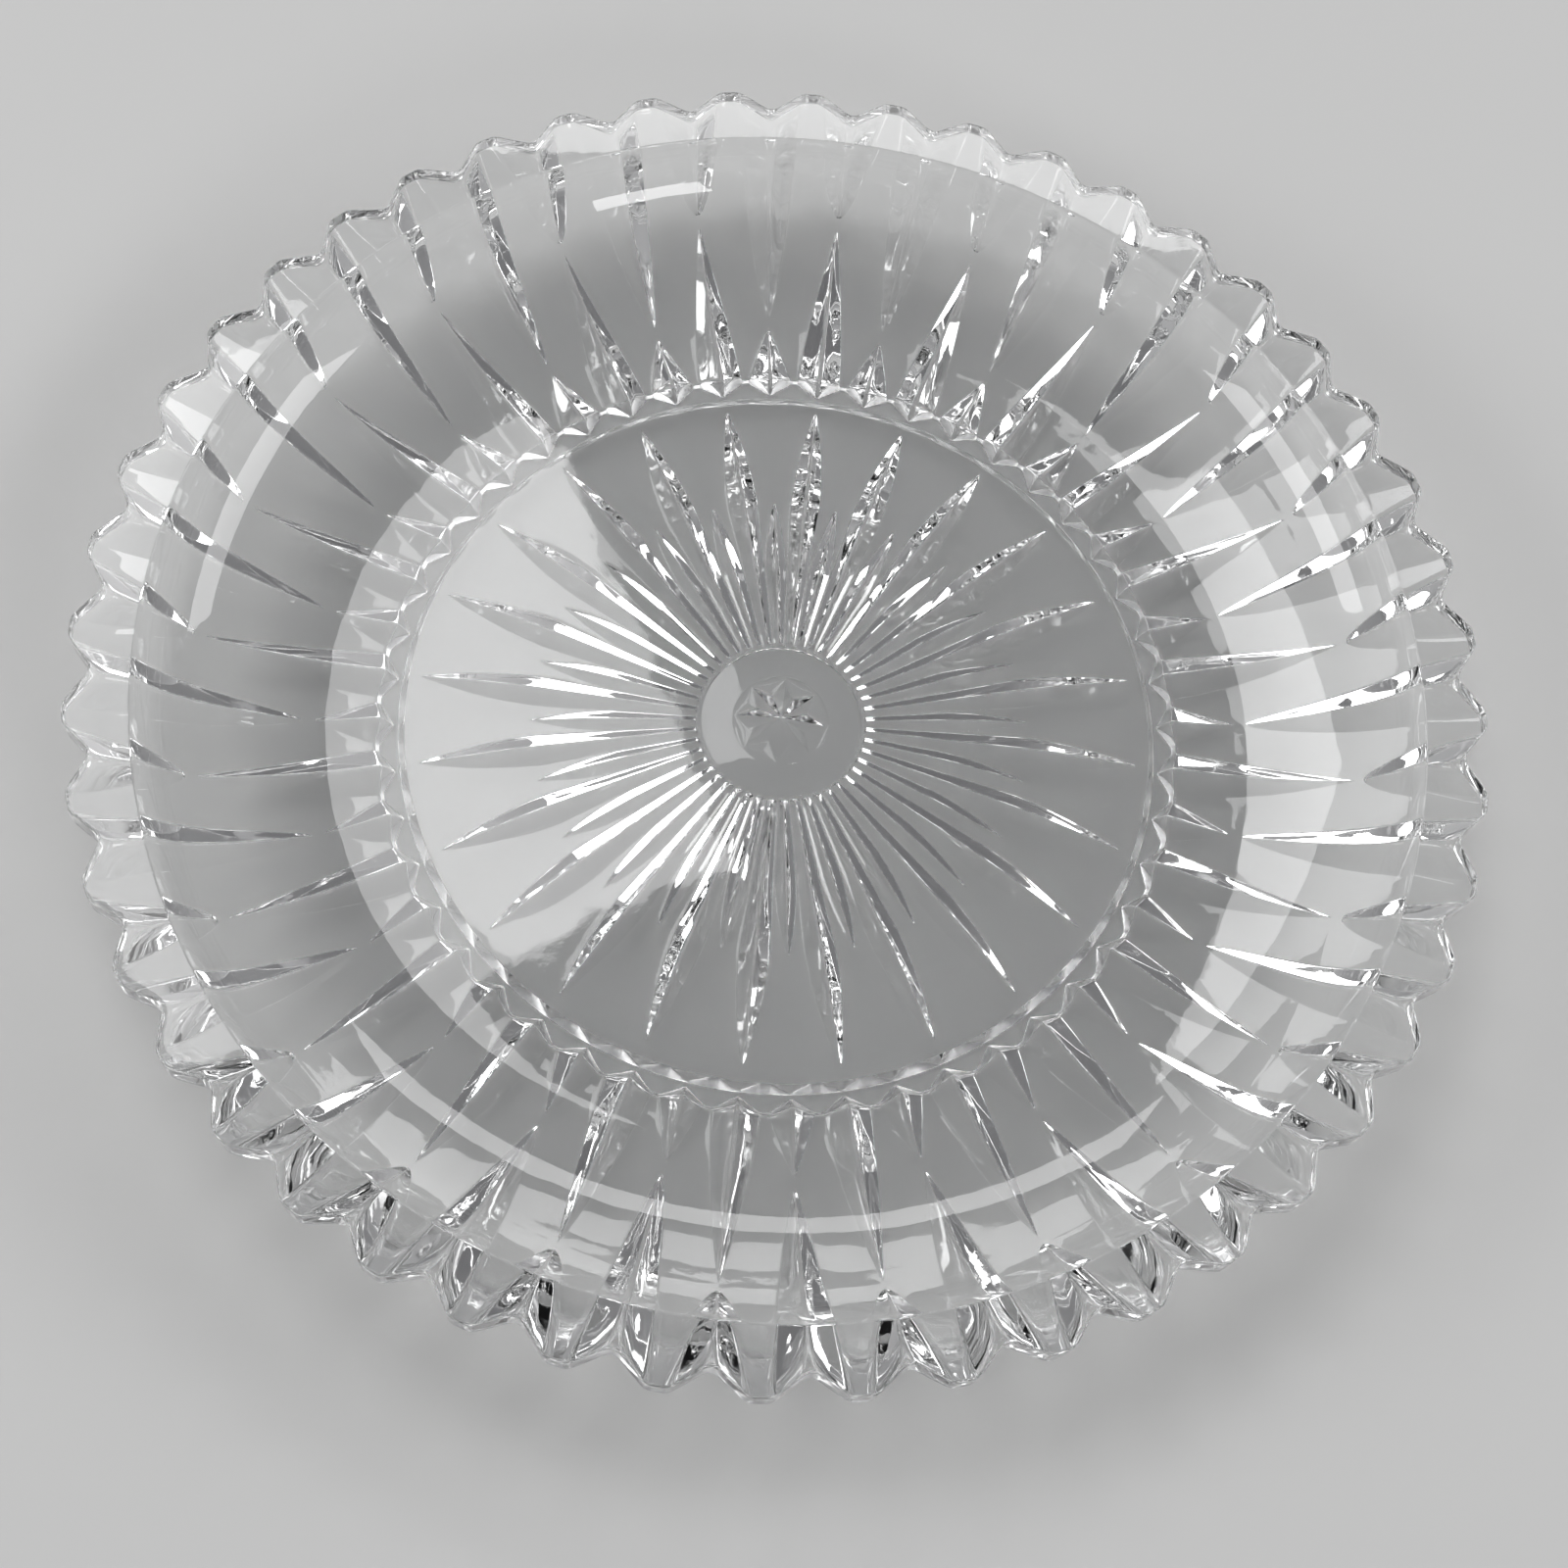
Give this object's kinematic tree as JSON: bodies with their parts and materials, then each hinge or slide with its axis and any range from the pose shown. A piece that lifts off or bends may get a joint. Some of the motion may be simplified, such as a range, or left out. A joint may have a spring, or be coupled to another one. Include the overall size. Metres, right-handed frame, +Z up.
{
  "type": "pressed glass dish",
  "caption": "Wide, shallow, round clear glass dish with a toothed rim, mitre-cut wall and a sunburst with a star under its flat floor.",
  "frame": {"origin": "centre of the circle that the dish stands on, in the plane of the table", "axes": "+Z up along the axis of the dish, +X through the middle of a long petal of the sunburst"},
  "size_m": [0.2996, 0.2996, 0.0328],
  "materials": {
    "clear_glass": "clear colourless pressed glass, fire-polished all over"
  },
  "bodies": {
    "root": {"glass_dish": "clear_glass"}
  },
  "joints": []
}
